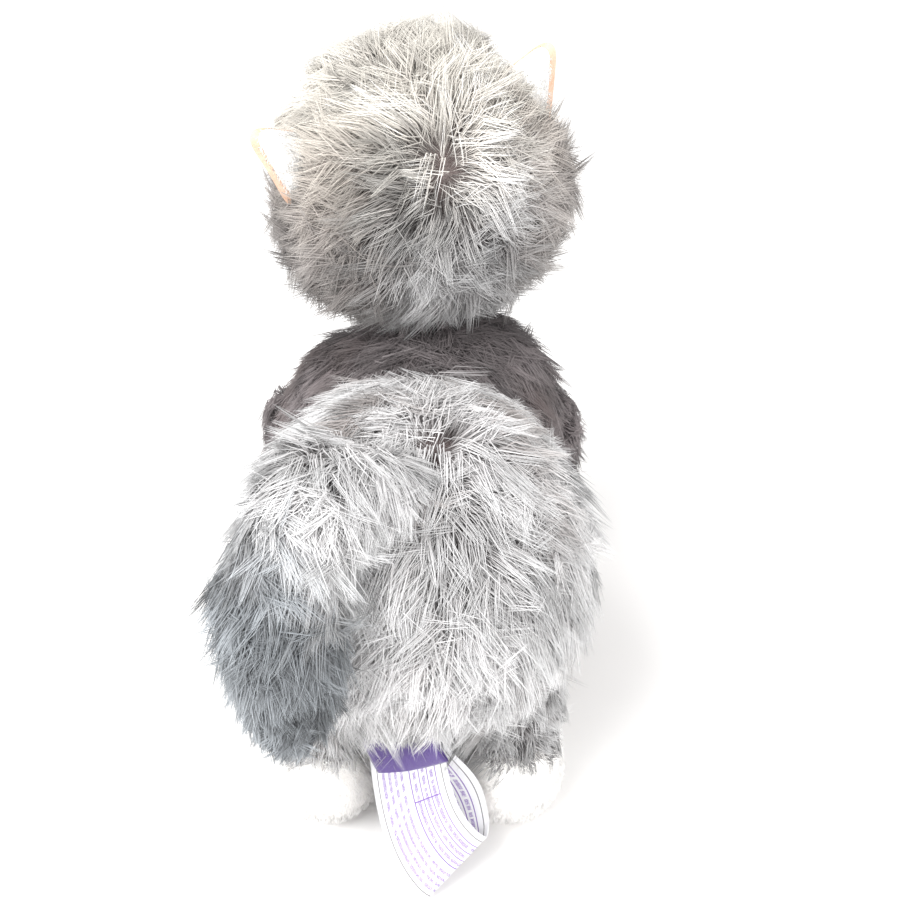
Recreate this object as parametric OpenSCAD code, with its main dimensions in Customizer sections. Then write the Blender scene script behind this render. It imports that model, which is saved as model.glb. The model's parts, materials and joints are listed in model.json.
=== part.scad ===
// Stuffed monkey on all fours: a grain-filled plush with jointed head, ears,
// limbs and tail. Millimetres, +Z up, the monkey faces -Y, and the origin is
// on the floor under the middle of the toy. Every cover is a band of pile and
// backing around its own stuffing.

/* [Head] */
// Radius of the head over its pile
head_r = 59; // [54:1:60]
// Height of the head's centre above the floor
head_z = 210; // [209:1:216]
// How far the head's centre is in front of the origin
head_front = 84; // [80:1:88]
// Sideways lean of the head, towards the monkey's left
head_lean = 12; // [0:1:16]
// Turn of the head, towards the monkey's left
head_turn = 15; // [0:1:18]
// Radius of the short-pile face
face_r = 37; // [32:1:40]
// Radius of the muzzle
muzzle_r = 20; // [16:1:22]
// Radius of an eye dome
eye_r = 6; // [4:0.5:7]

/* [Ears] */
// Radius of an ear's outline
ear_r = 15; // [12:1:17]
// Height of the ears round the head, above its middle
ear_rise = 27; // [20:1:34]
// Angle of the ears behind the head's middle
ear_back_angle = 14; // [0:1:20]

/* [Torso] */
// Radius of the chest over its pile
chest_r = 47; // [42:1:48]
// Radius of the rump over its pile
rump_r = 64; // [60:1:66]
// Distance from the origin to the chest's centre and to the rump's centre
half_back = 50; // [48:1:52]
// Height of the torso's centre line above the floor
back_z = 104; // [102:1:106]
// Where the dark shoulders meet the light rump, along Y
colour_seam_y = -4; // [-12:1:6]
// Half width of the belly panel
belly_half_w = 22; // [16:1:26]
// Distance from the middle to the flats where the arms are sewn on
arm_flat_x = 41.5; // [40:0.5:42]

/* [Limbs] */
// Radius of an arm at the shoulder
shoulder_r = 18; // [16:0.5:18]
// Radius of an arm at the wrist
wrist_r = 14; // [12:0.5:15]
// Radius of a hand
hand_r = 18; // [16:0.5:19]
// Radius of the ball at the top of a hind leg
hip_r = 24; // [22:0.5:24]
// Radius of a hind leg below its ball
shank_r = 20; // [18:0.5:21]
// Radius of a foot
foot_r = 22; // [20:0.5:22]

/* [Tail] */
// Radius of the tail over its pile
tail_r = 19; // [16:0.5:20]
// Radius of the ball at the tail's root
tail_root_r = 15; // [12:0.5:16]

/* [Fabric] */
// Thickness of the long-pile covers
pile_t = 6; // [4:0.5:8]
// Thickness of the short-pile skins of face, hands and feet
skin_t = 2.5; // [1.5:0.5:3]
// Gap between pieces that move past each other
play = 0.5; // [0.4:0.1:0.8]

/* [Labels] */
// Width of the folded care label
care_w = 32; // [28:1:34]
// Thickness of the care label at its fold
care_fold_t = 7; // [4:1:9]

/* [Hidden] */
$fn = 96;

// Sides: the monkey's left is +X
LEFT = 1;
RIGHT = -1;
far = 300;

silver = "gainsboro";
dark_plush = "dimgray";
cream = "ivory";
peach = "peachpuff";
wadding = "whitesmoke";

head_c = [0, -head_front, head_z];
chest_c = [0, -half_back, back_z];
rump_c = [0, half_back, back_z];

// The neck ball sits half-way across the gap between head and chest
neck_r = 24;
neck_run = norm(chest_c - head_c);
neck_gap = neck_run - head_r - chest_r;
neck_p = head_c + (chest_c - head_c) * (head_r + neck_gap / 2) / neck_run;

function shoulder_p(side) = [side * 60.5, -58, 110];
function wrist_p(side) = [side * 60, -76, 42];
function hand_p(side) = [side * 61, -83, 16];
function hip_p(side) = [side * 37, 64, 52];
heel_y = 79;
toe_y = 50;
foot_z = 19.5;

// Route of the tail: out of the rump, over to the left and down
tail_root = rump_c + unit([8, 32, 55]) * (rump_r + play);
tail_arch = [30, 99, 171];
tail_bend = [44, 118, 140];
tail_end = [41, 132, 106];

// The care label leaves the rear seam and stands on one corner of its fold
care_root_a = rump_c + unit([18, 42, -49]) * (rump_r + 4);
care_root_b = care_root_a + unit([-26, 10, 8]) * care_w;
care_fold_a = [-5, 127, 4.4];
care_fold_b = care_fold_a + unit([-22, -13, 20]) * care_w;
care_down = unit(care_fold_a + care_fold_b - care_root_a - care_root_b);
care_out = unit(cross(care_down, care_root_b - care_root_a));

function unit(v) = v / norm(v);

// ---------- shared shapes ----------

// Turns +Z to run from p towards q
module aim(p, q) {
    d = q - p;
    translate(p)
        rotate([0, acos(d[2] / norm(d)), atan2(d[1], d[0])])
            children();
}

// Half outline of two balls and the cone that touches both
module pill_profile(l, r1, r2) {
    s = (r1 - r2) / l;
    c = sqrt(1 - s * s);
    right_half() {
        circle(r1);
        translate([0, l]) circle(r2);
        polygon([[0, r1 * s], [r1 * c, r1 * s],
                 [r2 * c, l + r2 * s], [0, l + r2 * s]]);
    }
}

// The half of a flat outline that can be turned round the axis
module right_half() {
    intersection() {
        union() children();
        translate([0, -far / 2]) square([far, far * 2]);
    }
}

// Round-ended taper from p to q
module pill(p, q, r1, r2) {
    aim(p, q)
        rotate_extrude() pill_profile(norm(q - p), r1, r2);
}

module ball(p, r) {
    translate(p) sphere(r);
}

// Everything on one side of the middle plane
module half_space(side) {
    translate([side * far, 0, 0]) cube(2 * far, center = true);
}

// Everything past a plane through p, in the direction d
module past(p, d) {
    aim(p, p + d) cylinder(r = far / 2, h = far);
}

// ---------- head ----------

module lean_head() {
    translate(head_c)
        rotate([0, 0, head_turn]) rotate([0, head_lean, 0])
            children();
}

// A point on the leaning, turned head, given from the head's centre
function leant(v) = [
    v[0] * cos(head_lean) + v[2] * sin(head_lean),
    v[1],
    v[2] * cos(head_lean) - v[0] * sin(head_lean)
];
function turned(v) = [
    v[0] * cos(head_turn) - v[1] * sin(head_turn),
    v[0] * sin(head_turn) + v[1] * cos(head_turn),
    v[2]
];
function on_head(v) = head_c + turned(leant(v));

muzzle_at = [0, -43.5, -14];
function eye_dir(side) = unit([side * 17, -54, 9]);

module head_form(inset) {
    difference() {
        ball(head_c, head_r - inset);
        ball(neck_p, neck_r + play);
    }
}

// Whole ball in the head's frame, with its poles at the face and at the back
// and its own seam on the far side from the half it is cut for
module head_ball(side, r) {
    lean_head() rotate([90, 0, 0]) rotate([0, 0, 90 + 90 * side]) sphere(r);
}

module face_region() {
    lean_head()
        rotate([90, 0, 0]) cylinder(r = face_r, h = far);
}

module eye_bores(r) {
    for (side = [LEFT, RIGHT])
        lean_head()
            aim([0, 0, 0], eye_dir(side)) cylinder(r = r, h = far);
}

module head_cover(side) {
    color(silver)
        difference() {
            intersection() {
                head_ball(side, head_r);
                lean_head() half_space(side);
            }
            head_ball(side, head_r - pile_t);
            ball(neck_p, neck_r + play);
            face_region();
        }
}

module face_mask() {
    color(peach)
        difference() {
            intersection() {
                head_form(0);
                face_region();
            }
            ball(head_c, head_r - pile_t);
            eye_bores(2);
        }
}

washer_at = 45;

module head_stuffing() {
    color(wadding)
        difference() {
            head_form(pile_t);
            for (side = [LEFT, RIGHT])
                lean_head()
                    aim([0, 0, 0], eye_dir(side)) {
                        translate([0, 0, washer_at]) cylinder(r = 2, h = far);
                        translate([0, 0, washer_at - 1]) cylinder(r = 8, h = 4);
                    }
        }
}

module muzzle_ball(inset) {
    ball(on_head(muzzle_at), muzzle_r - inset, $fn = 240);
}

module muzzle_form(inset) {
    difference() {
        muzzle_ball(inset);
        ball(head_c, head_r, $fn = 240);
    }
}

nose_at = muzzle_at + unit([0, -1, 0.15]) * (muzzle_r - 1);
nose_r = 4.2;

module nose_ball() {
    ball(on_head(nose_at), nose_r);
}

module muzzle_cover() {
    color(cream)
        difference() {
            muzzle_form(0);
            muzzle_ball(skin_t);
            nose_ball();
        }
}

module muzzle_stuffing() {
    color(wadding)
        difference() {
            muzzle_form(skin_t);
            nose_ball();
        }
}

module nose() {
    color("sienna") nose_ball();
}

// Smile sewn round the lower half of the muzzle's front
module mouth_stitch() {
    smile_tilt = 28;
    smile_arc = 70;
    color("saddlebrown")
        lean_head()
            translate(muzzle_at)
                rotate([smile_tilt, 0, 0])
                    rotate([0, 0, -90 - smile_arc / 2])
                        rotate_extrude(angle = smile_arc)
                            translate([muzzle_r, 0]) circle(0.8, $fn = 16);
}

module eye(side) {
    color("black")
        lean_head()
            aim([0, 0, 0], eye_dir(side)) {
                difference() {
                    translate([0, 0, head_r - 1]) sphere(eye_r);
                    sphere(head_r);
                }
                translate([0, 0, washer_at])
                    cylinder(r = 1.5, h = head_r + 1 - washer_at);
            }
}

module eye_washer(side) {
    color("lightgray")
        lean_head()
            aim([0, 0, 0], eye_dir(side))
                translate([0, 0, washer_at])
                    difference() {
                        cylinder(r = 7, h = 1.6);
                        cylinder(r = 1.55, h = 4, center = true);
                    }
}

// ---------- ears ----------

ear_t = 2;
ear_dish_r = 26;
ear_gap = 3.5;
ear_reach = 5;

// One layer of the dished ear, hollow side forwards
module ear_layer(side, layer) {
    outer = ear_dish_r - layer * ear_t;
    difference() {
        intersection() {
            lean_head()
                rotate([0, 0, side * ear_back_angle]) rotate([0, -side * ear_rise, 0])
                    translate([side * (head_r + ear_reach), 0, 0])
                        intersection() {
                            translate([0, -ear_dish_r + 5, 0])
                                difference() {
                                    sphere(outer);
                                    sphere(outer - ear_t);
                                }
                            rotate([-90, 0, 0])
                                cylinder(r = ear_r - layer * 0.5, h = far,
                                         center = true);
                            translate([0, far / 2 - 20, 0])
                                cube(far, center = true);
                        }
        }
        ball(head_c, head_r + ear_gap);
    }
}

module ear_back(side) {
    color(cream) ear_layer(side, 0);
}

module ear_lining(side) {
    color(peach) ear_layer(side, 1);
}

// ---------- neck ----------

module neck_roll() {
    color(dark_plush) ball(neck_p, neck_r);
}

// ---------- torso ----------

arm_flat_end_y = -24;

// Torso with the flats for the arms
module torso_core(inset) {
    difference() {
        pill(chest_c, rump_c, chest_r - inset, rump_r - inset);
        for (side = [LEFT, RIGHT])
            translate([side * (arm_flat_x - inset + far / 2),
                       arm_flat_end_y + inset - far / 2, back_z])
                cube(far, center = true);
    }
}

module sockets() {
    ball(hip_p(LEFT), hip_r + play);
    ball(hip_p(RIGHT), hip_r + play);
    ball(neck_p, neck_r + play);
    ball(tail_root, tail_root_r + play);
}

module torso_shell() {
    difference() {
        torso_core(0);
        torso_core(pile_t);
        sockets();
    }
}

module belly_region() {
    translate([-belly_half_w, -half_back - 10, 0])
        cube([2 * belly_half_w, 2 * half_back, back_z]);
}

module behind_colour_seam() {
    translate([-far, colour_seam_y, -far]) cube(2 * far);
}

module shoulder_cover(side) {
    color(dark_plush)
        difference() {
            torso_shell();
            half_space(-side);
            belly_region();
            behind_colour_seam();
        }
}

module rump_cover(side) {
    color(silver)
        difference() {
            intersection() {
                torso_shell();
                behind_colour_seam();
            }
            half_space(-side);
            belly_region();
        }
}

module belly_panel() {
    color(peach)
        intersection() {
            torso_shell();
            belly_region();
        }
}

pouch_front = [0, -20, 96];
pouch_rear = [0, 34, 96];
pouch_r = 26;
pouch_t = 1.5;

module body_stuffing() {
    color(wadding)
        difference() {
            torso_core(pile_t);
            sockets();
            pill(pouch_front, pouch_rear, pouch_r, pouch_r);
        }
}

module heat_pouch() {
    color("beige")
        difference() {
            pill(pouch_front, pouch_rear, pouch_r, pouch_r);
            pill(pouch_front, pouch_rear, pouch_r - pouch_t, pouch_r - pouch_t);
        }
}

module grain_fill() {
    color("burlywood")
        pill(pouch_front, pouch_rear, pouch_r - pouch_t, pouch_r - pouch_t);
}

// Ladder stitches along the middle of the belly, where the torso was closed
module closing_stitches() {
    stitch_gap = 8;
    stitch_l = 6;
    grow = (rump_r - chest_r) / (2 * half_back);
    color("slategray")
        for (y = [-24 : stitch_gap : 24])
            translate([-stitch_l / 2, y,
                       back_z - (chest_r + grow * (y + half_back)) / sqrt(1 - grow * grow)])
                rotate([0, 90, 0]) cylinder(r = 0.8, h = stitch_l, $fn = 16);
}

// ---------- arms ----------

sleeve_t = 4;

module arm_form(side, inset) {
    pill(shoulder_p(side), wrist_p(side), shoulder_r - inset, wrist_r - inset);
}

module hand_form(side, inset) {
    difference() {
        pill(wrist_p(side), hand_p(side), wrist_r - inset, hand_r - inset);
        translate([0, 0, inset - far]) cube(2 * far, center = true);
        arm_side(side);
    }
}

// Everything above the wrist seam
module arm_side(side) {
    past(wrist_p(side), shoulder_p(side) - wrist_p(side));
}

module arm_sleeve(side) {
    color(dark_plush)
        intersection() {
            difference() {
                arm_form(side, 0);
                arm_form(side, sleeve_t);
            }
            arm_side(side);
        }
}

module arm_stuffing(side) {
    color(wadding)
        union() {
            intersection() {
                arm_form(side, sleeve_t);
                arm_side(side);
            }
            hand_form(side, skin_t);
        }
}

module hand_cover(side) {
    color(cream)
        difference() {
            hand_form(side, 0);
            hand_form(side, skin_t);
        }
}

// ---------- hind legs ----------

// The leg is cut into thigh and foot by a level seam
ankle_z = 34;

module leg_form(side, inset) {
    hip = hip_p(side);
    heel = [hip[0], heel_y, foot_z];
    toe = [hip[0], toe_y, foot_z];
    difference() {
        union() {
            ball(hip, hip_r - inset);
            pill(hip, heel, shank_r - inset, shank_r - inset);
            pill(heel, toe, foot_r - inset, foot_r - inset);
        }
        translate([0, 0, inset - far]) cube(2 * far, center = true);
    }
}

module leg_shell(side) {
    difference() {
        leg_form(side, 0);
        leg_form(side, skin_t);
    }
}

module above_ankle() {
    translate([-far, -far, ankle_z]) cube(2 * far);
}

module sole_region() {
    translate([-far, -far, 0]) cube([2 * far, 2 * far, skin_t]);
}

module thigh_cover(side) {
    color(silver)
        intersection() {
            leg_shell(side);
            above_ankle();
        }
}

module foot_cover(side) {
    color(cream)
        difference() {
            leg_shell(side);
            above_ankle();
            sole_region();
        }
}

module sole_panel(side) {
    color(cream)
        intersection() {
            leg_form(side, 0);
            sole_region();
        }
}

module leg_stuffing(side) {
    color(wadding) leg_form(side, skin_t);
}

// ---------- tail ----------

tail_cover_t = 4;
tail_stalk_r = 9;

// The tail's root ball, its stalk and the ball of its arch
module tail_base_form(inset) {
    l = norm(tail_arch - tail_root);
    aim(tail_root, tail_arch)
        rotate_extrude()
            right_half() {
                circle(tail_root_r - inset);
                translate([0, l]) circle(tail_r + 1 - inset);
                square([tail_stalk_r - inset, l]);
            }
}

// The tip's upper ball turns in place below the arch
module tail_tip_form(inset) {
    pill(tail_bend, tail_end, tail_r - 1 - inset, tail_r - 2.5 - inset);
}

module tail_base_cover() {
    color(silver)
        difference() {
            tail_base_form(0);
            tail_base_form(tail_cover_t);
        }
}

module tail_base_stuffing() {
    color(wadding) tail_base_form(tail_cover_t);
}

module tail_tip_cover() {
    color("slategray")
        difference() {
            tail_tip_form(0);
            tail_tip_form(tail_cover_t);
        }
}

module tail_tip_stuffing() {
    color(wadding) tail_tip_form(tail_cover_t);
}

// ---------- labels ----------

// Short folded ribbon over the root of the care label
module ribbon_label() {
    lift = care_out * 3;
    drop = care_down * 13 + care_out;
    color("indigo")
        hull() {
            rod(care_root_a + lift, care_root_b + lift, 0.8);
            rod(care_root_a + lift + drop, care_root_b + lift + drop, 1.2);
        }
}

module care_label() {
    color("white")
        hull() {
            rod(care_root_a, care_root_b, 1);
            rod(care_fold_a, care_fold_b, care_fold_t / 2);
        }
}

module rod(p, q, r) {
    aim(p, q) cylinder(r = r, h = norm(q - p), $fn = 16);
}

// ---------- assembly ----------

head_cover(LEFT);  // head_cover_left
head_cover(RIGHT);  // head_cover_right
face_mask();
head_stuffing();
muzzle_cover();
muzzle_stuffing();
nose();
mouth_stitch();
eye(LEFT);  // eye_left
eye(RIGHT);  // eye_right
eye_washer(LEFT);  // eye_washer_left
eye_washer(RIGHT);  // eye_washer_right
ear_back(LEFT);  // ear_back_left
ear_back(RIGHT);  // ear_back_right
ear_lining(LEFT);  // ear_lining_left
ear_lining(RIGHT);  // ear_lining_right
neck_roll();
shoulder_cover(LEFT);  // shoulder_cover_left
shoulder_cover(RIGHT);  // shoulder_cover_right
rump_cover(LEFT);  // rump_cover_left
rump_cover(RIGHT);  // rump_cover_right
belly_panel();
body_stuffing();
heat_pouch();
grain_fill();
closing_stitches();
arm_sleeve(LEFT);  // arm_sleeve_left
arm_sleeve(RIGHT);  // arm_sleeve_right
arm_stuffing(LEFT);  // arm_stuffing_left
arm_stuffing(RIGHT);  // arm_stuffing_right
hand_cover(LEFT);  // hand_cover_left
hand_cover(RIGHT);  // hand_cover_right
thigh_cover(LEFT);  // thigh_cover_left
thigh_cover(RIGHT);  // thigh_cover_right
foot_cover(LEFT);  // foot_cover_left
foot_cover(RIGHT);  // foot_cover_right
sole_panel(LEFT);  // sole_panel_left
sole_panel(RIGHT);  // sole_panel_right
leg_stuffing(LEFT);  // leg_stuffing_left
leg_stuffing(RIGHT);  // leg_stuffing_right
tail_base_cover();
tail_base_stuffing();
tail_tip_cover();
tail_tip_stuffing();
ribbon_label();
care_label();
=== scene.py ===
"""Looks of a long-pile stuffed monkey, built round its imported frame. Metres, +Z up, facing -Y."""

import json
import math

import bpy
import numpy as np
from bpy.props import FloatProperty, FloatVectorProperty, IntProperty, PointerProperty
from mathutils import Matrix, Vector
from mathutils import noise as perlin
from mathutils.kdtree import KDTree


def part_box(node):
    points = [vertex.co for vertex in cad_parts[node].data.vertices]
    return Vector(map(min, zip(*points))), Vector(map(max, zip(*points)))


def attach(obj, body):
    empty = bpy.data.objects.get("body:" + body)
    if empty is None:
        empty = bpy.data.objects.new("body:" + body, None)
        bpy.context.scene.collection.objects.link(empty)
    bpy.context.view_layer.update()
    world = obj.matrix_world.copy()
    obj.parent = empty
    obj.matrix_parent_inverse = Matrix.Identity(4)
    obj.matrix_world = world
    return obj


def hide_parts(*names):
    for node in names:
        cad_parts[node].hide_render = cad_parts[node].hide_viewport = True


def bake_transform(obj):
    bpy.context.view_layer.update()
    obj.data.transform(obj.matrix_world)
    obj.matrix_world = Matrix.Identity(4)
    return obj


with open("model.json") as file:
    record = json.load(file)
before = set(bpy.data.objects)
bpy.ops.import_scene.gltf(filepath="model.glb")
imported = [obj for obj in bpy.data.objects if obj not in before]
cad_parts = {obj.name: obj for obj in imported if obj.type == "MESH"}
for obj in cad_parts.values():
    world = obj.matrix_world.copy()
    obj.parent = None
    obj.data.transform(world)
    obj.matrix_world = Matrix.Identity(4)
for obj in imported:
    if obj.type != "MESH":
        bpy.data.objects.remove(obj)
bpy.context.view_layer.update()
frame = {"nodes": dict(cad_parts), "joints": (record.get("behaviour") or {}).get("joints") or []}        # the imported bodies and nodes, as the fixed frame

bl_info = {
    "name": "Stuffed Monkey",
    "version": (1, 0, 0),
    "blender": (4, 5, 0),
    "location": "View3D > Sidebar > Stuffed Monkey",
    "description": "Builds a long-pile stuffed monkey piece by piece",
    "category": "Add Mesh",
}

LEFT, RIGHT = 1, -1
SIDES = ((LEFT, "left"), (RIGHT, "right"))


# ---------- places, from the frame ----------

def box_of(*nodes):
    """Lowest and highest corner of several CAD nodes together."""
    corners = [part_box(n) for n in nodes]
    low = Vector([min(c[0][i] for c in corners) for i in range(3)])
    high = Vector([max(c[1][i] for c in corners) for i in range(3)])
    return low, high


def joint_place(name):
    """Where a joint sits, and its axis."""
    joint = next(j for j in frame["joints"] if j["name"] == name)
    return Vector(joint["pos_m"]), Vector(joint["axis"])


head_low, head_high = box_of("head_cover_left", "head_cover_right")
HEAD_R = (head_high.x - head_low.x) / 2
HEAD_C = Vector((0, head_high.y - HEAD_R, head_high.z - HEAD_R))
rump_low, rump_high = box_of("rump_cover_left", "rump_cover_right")
RUMP_R = (rump_high.x - rump_low.x) / 2
RUMP_C = Vector((0, rump_high.y - RUMP_R, rump_high.z - RUMP_R))
CHEST_R = 0.047
CHEST_C = Vector((0, box_of("shoulder_cover_left")[0].y + CHEST_R, RUMP_C.z))
NECK_P, _ = joint_place("neck_turn")
SHOULDER = {side: joint_place(f"{word}_arm_swing")[0] for side, word in SIDES}
HIP = {side: joint_place(f"{word}_leg_swing")[0] for side, word in SIDES}
EAR = {side: joint_place(f"{word}_ear_fold") for side, word in SIDES}
TAIL_ROOT, _ = joint_place("tail_lift")
TAIL_BEND, _ = joint_place("tail_curl")

BELLY_HALF_W = 0.021
HEAD_LEAN = math.radians(12)
HEAD_TURN = math.radians(15)
LEAN = Matrix.Rotation(HEAD_TURN, 3, "Z") @ Matrix.Rotation(HEAD_LEAN, 3, "Y")


def on_head(x, y, z):
    """A place on the leaning head, given in metres from the head's centre."""
    return HEAD_C + LEAN @ Vector((x, y, z))


# ---------- settings ----------

class PileSettings(bpy.types.PropertyGroup):
    """Lengths, thickness and number of the pile's strands."""

    head_length: FloatProperty(
        name="Head pile", description="Length of the pile on the head",
        default=0.0270, unit="LENGTH")
    torso_length: FloatProperty(
        name="Torso pile", description="Length of the pile on the rump and shoulders",
        default=0.027, unit="LENGTH")
    tail_length: FloatProperty(
        name="Tail pile", description="Length of the pile on the tail",
        default=0.024, unit="LENGTH")
    limb_length: FloatProperty(
        name="Limb pile", description="Length of the pile on arms and thighs",
        default=0.014, unit="LENGTH")
    strand_width: FloatProperty(
        name="Strand width", description="Width of a strand at its root",
        default=0.00043, unit="LENGTH")
    head_strands: IntProperty(
        name="Head strands", description="Number of strands on the head", default=62000)
    torso_strands: IntProperty(
        name="Torso strands", description="Number of strands on the torso", default=125000)
    tail_strands: IntProperty(
        name="Tail strands", description="Number of strands on the tail", default=40000)
    limb_strands: IntProperty(
        name="Limb strands", description="Number of strands on an arm or thigh", default=9000)


class ColourSettings(bpy.types.PropertyGroup):
    """Colours of the pile, skins, trim and labels."""

    silver_tip: FloatVectorProperty(
        name="Silver tip", description="Tips of the light pile", subtype="COLOR",
        default=(0.76, 0.765, 0.765), size=3)
    silver_root: FloatVectorProperty(
        name="Silver root", description="Roots of the light pile", subtype="COLOR",
        default=(0.10, 0.072, 0.068), size=3)
    # Painted light: these cream crown tips stand for pile washed out by the bright light over the
    # top of the head.
    crown_highlight_tip: FloatVectorProperty(
        name="Crown tip", description="Tips of the pile over the top of the head", subtype="COLOR",
        default=(0.76, 0.73, 0.66), size=3)
    dark_tip: FloatVectorProperty(
        name="Dark tip", description="Tips of the shoulder pile", subtype="COLOR",
        default=(0.25, 0.222, 0.222), size=3)
    dark_root: FloatVectorProperty(
        name="Dark root", description="Roots of the shoulder pile", subtype="COLOR",
        default=(0.03, 0.02, 0.023), size=3)
    blue_tip: FloatVectorProperty(
        name="Blue-grey tip", description="Tips of the pile low on the tail", subtype="COLOR",
        default=(0.36, 0.385, 0.405), size=3)
    cream: FloatVectorProperty(
        name="Cream", description="Short pile of hands, feet and ear backs", subtype="COLOR",
        default=(0.95, 0.935, 0.91), size=3)
    peach: FloatVectorProperty(
        name="Peach", description="Short pile of face, ear linings and belly", subtype="COLOR",
        default=(0.80, 0.56, 0.43), size=3)
    ribbon: FloatVectorProperty(
        name="Ribbon", description="Woven ribbon label", subtype="COLOR",
        default=(0.055, 0.022, 0.17), size=3)
    satin: FloatVectorProperty(
        name="Satin", description="Care label", subtype="COLOR",
        default=(0.86, 0.86, 0.88), size=3)
    print_ink: FloatVectorProperty(
        name="Print", description="Print on the care label", subtype="COLOR",
        default=(0.20, 0.09, 0.42), size=3)


class LabelSettings(bpy.types.PropertyGroup):
    """Size of the care label."""

    care_width: FloatProperty(
        name="Care width", description="Width that the care label is cut to",
        default=0.031, unit="LENGTH")


CREAM_SHADE = (0.80, 0.77, 0.74)
PEACH_SHADE = (0.70, 0.47, 0.35)


def pile_settings():
    return bpy.context.scene.monkey_pile


def colours():
    return bpy.context.scene.monkey_colours


# ---------- shader maths ----------

class Value:
    """A shader socket that adds, subtracts, multiplies and compares as a number does."""

    def __init__(self, tree, socket):
        self.tree = tree
        self.socket = socket

    def _math(self, operation, first, second):
        return self.tree.node("ShaderNodeMath", {"operation": operation}, {0: first, 1: second})

    def __add__(self, other):
        return self._math("ADD", self, other)

    __radd__ = __add__

    def __sub__(self, other):
        return self._math("SUBTRACT", self, other)

    def __rsub__(self, other):
        return self._math("SUBTRACT", other, self)

    def __mul__(self, other):
        return self._math("MULTIPLY", self, other)

    __rmul__ = __mul__

    def __gt__(self, other):
        return self._math("GREATER_THAN", self, other)


class Shader:
    """One material's node tree, with a Principled surface."""

    def __init__(self, name, base, roughness, **fixed):
        self.material = bpy.data.materials.new(name)
        self.material.use_nodes = True
        self.material.diffuse_color = (*base, 1)
        self.nodes = self.material.node_tree.nodes
        self.links = self.material.node_tree.links
        self.surface = self.nodes["Principled BSDF"]
        self.surface.inputs["Base Color"].default_value = (*base, 1)
        self.surface.inputs["Roughness"].default_value = roughness
        for socket, value in fixed.items():
            self.surface.inputs[socket.replace("_", " ")].default_value = value

    def node(self, kind, settings=None, inputs=None, output=0):
        made = self.nodes.new(kind)
        for key, value in (settings or {}).items():
            if key == "stops":
                self._set_stops(made.color_ramp, value)
            else:
                setattr(made, key, value)
        for key, value in (inputs or {}).items():
            if isinstance(value, Value):
                self.links.new(value.socket, made.inputs[key])
            else:
                made.inputs[key].default_value = value
        return Value(self, made.outputs[output])

    @staticmethod
    def _set_stops(ramp, stops):
        while len(ramp.elements) < len(stops):
            ramp.elements.new(0.5)
        for element, (place, shade) in zip(ramp.elements, stops):
            element.position = place
            element.color = (*shade, 1) if len(shade) == 3 else shade

    def feed(self, socket, value):
        self.links.new(value.socket, self.surface.inputs[socket])

    def place(self):
        return self.node("ShaderNodeTexCoord", output="Object")

    def attribute(self, name, output="Fac"):
        return self.node("ShaderNodeAttribute", {"attribute_name": name}, output=output)

    def noise(self, scale, detail=2.0, where=None, rough=0.5):
        inputs = {"Scale": scale, "Detail": detail, "Roughness": rough,
                  "Vector": where or self.place()}
        return self.node("ShaderNodeTexNoise", inputs=inputs)

    def wave(self, direction, scale, distortion, where=None):
        inputs = {"Scale": scale, "Distortion": distortion, "Vector": where or self.place()}
        return self.node("ShaderNodeTexWave", {"bands_direction": direction}, inputs, "Fac")

    def ramp(self, value, *stops):
        return self.node("ShaderNodeValToRGB", {"stops": stops}, {"Fac": value})

    def mix(self, factor, first, second, blend="MIX"):
        made = self.nodes.new("ShaderNodeMix")
        made.data_type = "RGBA"
        made.blend_type = blend
        for socket, value in ((0, factor), (6, first), (7, second)):
            if isinstance(value, Value):
                self.links.new(value.socket, made.inputs[socket])
            elif socket and len(value) == 3:
                made.inputs[socket].default_value = (*value, 1)
            else:
                made.inputs[socket].default_value = value
        return Value(self, made.outputs[2])

    def bump(self, height, distance, strength=1.0):
        normal = self.node("ShaderNodeBump", inputs={
            "Height": height, "Distance": distance, "Strength": strength}, output="Normal")
        self.feed("Normal", normal)


def pile_material(name, base):
    """Long pile: the strand's own colour, streaked lengthwise by fine noise."""
    shader = Shader(name, base, 0.6, Specular_IOR_Level=0.3, Sheen_Weight=0.12,
                    Sheen_Roughness=0.5)
    strand = shader.attribute("pile_colour", "Color")
    streak = shader.noise(900, 2)
    lit = shader.ramp(streak, (0.3, (0.86, 0.86, 0.87)), (0.72, (1.0, 1.0, 1.0)))
    shader.feed("Base Color", shader.mix(1.0, strand, lit, "MULTIPLY"))
    return shader.material


def backing_material(name, light, dark):
    """Knitted backing seen between the strands, blotched as the roots are."""
    shader = Shader(name, dark, 0.95, Specular_IOR_Level=0.1)
    blotch = shader.noise(60, 4)
    fibres = shader.noise(1400, 2)
    colour = shader.ramp(blotch + (fibres - 0.5) * 0.5, (0.35, dark), (0.75, light))
    shader.feed("Base Color", colour)
    shader.bump(fibres, 0.0006)
    return shader.material


def short_pile_material(name, colour, shade):
    """Clipped velvety pile: fine nap, a soft sheen and faint brushed patches."""
    shader = Shader(name, colour, 0.85, Specular_IOR_Level=0.2, Sheen_Weight=0.35,
                    Sheen_Roughness=0.4)
    brushed = shader.noise(110, 3, rough=0.6)
    nap = shader.noise(2600, 2)
    base = shader.ramp(brushed * 0.7 + nap * 0.3, (0.32, shade), (0.62, colour))
    shader.feed("Base Color", base)
    shader.bump(nap * 0.6 + brushed * 0.8, 0.0006)
    return shader.material


# ---------- modelling helpers ----------

def deselect():
    for obj in bpy.context.selected_objects:
        obj.select_set(False)


def pick(obj):
    """Makes one object the only one selected, and the active one."""
    deselect()
    obj.select_set(True)
    bpy.context.view_layer.objects.active = obj


def ball(centre, radius, stretch=(1, 1, 1), turn=None, segments=48):
    """A ball at its size and place, stretched along its own axes."""
    deselect()
    bpy.ops.mesh.primitive_uv_sphere_add(
        segments=segments, ring_count=segments // 2, radius=radius, location=centre)
    obj = bpy.context.object
    obj.scale = stretch
    if turn is not None:
        obj.rotation_euler = turn.to_euler()
    settle(obj)
    return obj


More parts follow.
